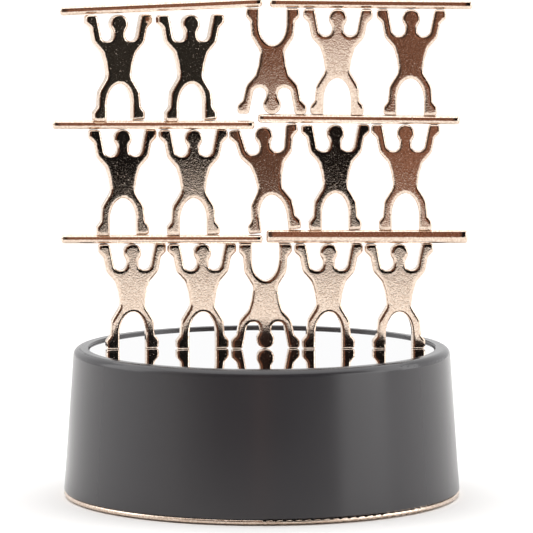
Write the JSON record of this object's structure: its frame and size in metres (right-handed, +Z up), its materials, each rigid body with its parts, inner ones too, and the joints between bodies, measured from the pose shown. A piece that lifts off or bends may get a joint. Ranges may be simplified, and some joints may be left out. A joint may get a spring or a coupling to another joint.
{
  "type": "magnetic desk sculpture",
  "caption": "Round magnetic base with a mirror top that holds a loose, rearrangeable stack of small flat steel figures with raised arms and flat steel bars.",
  "frame": {"origin": "centre of the base's underside, on the surface that the sculpture stands on", "axes": "+Z up along the base's axis, -Y to the front, where the figures face, +X to the viewer's right along the row of figures"},
  "size_m": [0.1038, 0.0984, 0.1235],
  "materials": {
    "black_abs": "moulded black ABS, soft gloss",
    "mirror_chrome": "polished chrome-plated steel, mirror bright",
    "figure_nickel": "tumbled steel with a warm nickel plate, satin faces and bright rounded edges",
    "bar_nickel": "rolled steel with a warm nickel plate, drawn satin with rounded edges",
    "foot_ring_metal": "steel plate with a polished warm rounded edge",
    "zinc_steel": "zinc-plated steel",
    "ferrite": "sintered ferrite magnet, ground dark grey",
    "clamp_nylon": "moulded natural nylon",
    "tape": "double-sided adhesive tape",
    "foot_foam": "thin black EVA foam pad"
  },
  "bodies": {
    "base": {"housing": "black_abs", "mirror_disc": "mirror_chrome", "mirror_tape": "tape", "ring_magnet": "ferrite", "backing_plate": "zinc_steel", "magnet_clamp": "clamp_nylon", "clamp_screws": "zinc_steel", "bottom_plate": "foot_ring_metal", "cover_screws": "zinc_steel", "foot_pad": "foot_foam"},
    "figure_row1_1": {"figure_row1_1": "figure_nickel"},
    "figure_row1_2": {"figure_row1_2": "figure_nickel"},
    "figure_row1_3": {"figure_row1_3": "figure_nickel"},
    "figure_row1_4": {"figure_row1_4": "figure_nickel"},
    "figure_row1_5": {"figure_row1_5": "figure_nickel"},
    "figure_row2_1": {"figure_row2_1": "figure_nickel"},
    "figure_row2_2": {"figure_row2_2": "figure_nickel"},
    "figure_row2_3": {"figure_row2_3": "figure_nickel"},
    "figure_row2_4": {"figure_row2_4": "figure_nickel"},
    "figure_row2_5": {"figure_row2_5": "figure_nickel"},
    "figure_row3_1": {"figure_row3_1": "figure_nickel"},
    "figure_row3_2": {"figure_row3_2": "figure_nickel"},
    "figure_row3_3": {"figure_row3_3": "figure_nickel"},
    "figure_row3_4": {"figure_row3_4": "figure_nickel"},
    "figure_row3_5": {"figure_row3_5": "figure_nickel"},
    "bar_row1_left": {"bar_row1_left": "bar_nickel"},
    "bar_row1_right": {"bar_row1_right": "bar_nickel"},
    "bar_row2_left": {"bar_row2_left": "bar_nickel"},
    "bar_row2_right": {"bar_row2_right": "bar_nickel"},
    "bar_top_left": {"bar_top_left": "bar_nickel"},
    "bar_top_right": {"bar_top_right": "bar_nickel"}
  },
  "joints": [
    {"name": "figure_row1_1_slide", "type": "slide", "parent": "base", "child": "figure_row1_1", "axis": [0, -1, 0], "range_m": [0, 0.017]},
    {"name": "figure_row1_2_slide", "type": "slide", "parent": "base", "child": "figure_row1_2", "axis": [0, -1, 0], "range_m": [0, 0.0355]},
    {"name": "figure_row1_3_slide", "type": "slide", "parent": "base", "child": "figure_row1_3", "axis": [0, -1, 0], "range_m": [0, 0.041]},
    {"name": "figure_row1_4_slide", "type": "slide", "parent": "base", "child": "figure_row1_4", "axis": [0, -1, 0], "range_m": [0, 0.036]},
    {"name": "figure_row1_5_slide", "type": "slide", "parent": "base", "child": "figure_row1_5", "axis": [0, -1, 0], "range_m": [0, 0.0135]},
    {"name": "figure_row2_1_slide", "type": "slide", "parent": "base", "child": "figure_row2_1", "axis": [0, -1, 0], "range_m": [0, 0.06]},
    {"name": "figure_row2_2_slide", "type": "slide", "parent": "base", "child": "figure_row2_2", "axis": [0, -1, 0], "range_m": [0, 0.06]},
    {"name": "figure_row2_3_slide", "type": "slide", "parent": "base", "child": "figure_row2_3", "axis": [0, -1, 0], "range_m": [0, 0.06]},
    {"name": "figure_row2_4_slide", "type": "slide", "parent": "base", "child": "figure_row2_4", "axis": [0, -1, 0], "range_m": [0, 0.06]},
    {"name": "figure_row2_5_slide", "type": "slide", "parent": "base", "child": "figure_row2_5", "axis": [0, -1, 0], "range_m": [0, 0.06]},
    {"name": "figure_row3_1_slide", "type": "slide", "parent": "base", "child": "figure_row3_1", "axis": [0, -1, 0], "range_m": [0, 0.06]},
    {"name": "figure_row3_2_slide", "type": "slide", "parent": "base", "child": "figure_row3_2", "axis": [0, -1, 0], "range_m": [0, 0.06]},
    {"name": "figure_row3_3_slide", "type": "slide", "parent": "base", "child": "figure_row3_3", "axis": [0, -1, 0], "range_m": [0, 0.06]},
    {"name": "figure_row3_4_slide", "type": "slide", "parent": "base", "child": "figure_row3_4", "axis": [0, -1, 0], "range_m": [0, 0.06]},
    {"name": "figure_row3_5_slide", "type": "slide", "parent": "base", "child": "figure_row3_5", "axis": [0, -1, 0], "range_m": [0, 0.06]},
    {"name": "bar_row1_left_slide", "type": "slide", "parent": "base", "child": "bar_row1_left", "axis": [0, -1, 0], "range_m": [0, 0.06]},
    {"name": "bar_row1_right_slide", "type": "slide", "parent": "base", "child": "bar_row1_right", "axis": [0, -1, 0], "range_m": [0, 0.06]},
    {"name": "bar_row2_left_slide", "type": "slide", "parent": "base", "child": "bar_row2_left", "axis": [0, -1, 0], "range_m": [0, 0.06]},
    {"name": "bar_row2_right_slide", "type": "slide", "parent": "base", "child": "bar_row2_right", "axis": [0, -1, 0], "range_m": [0, 0.06]},
    {"name": "bar_top_left_lift", "type": "slide", "parent": "base", "child": "bar_top_left", "axis": [0, 0, 1], "range_m": [0, 0.04]},
    {"name": "bar_top_right_lift", "type": "slide", "parent": "base", "child": "bar_top_right", "axis": [0, 0, 1], "range_m": [0, 0.04]}
  ]
}
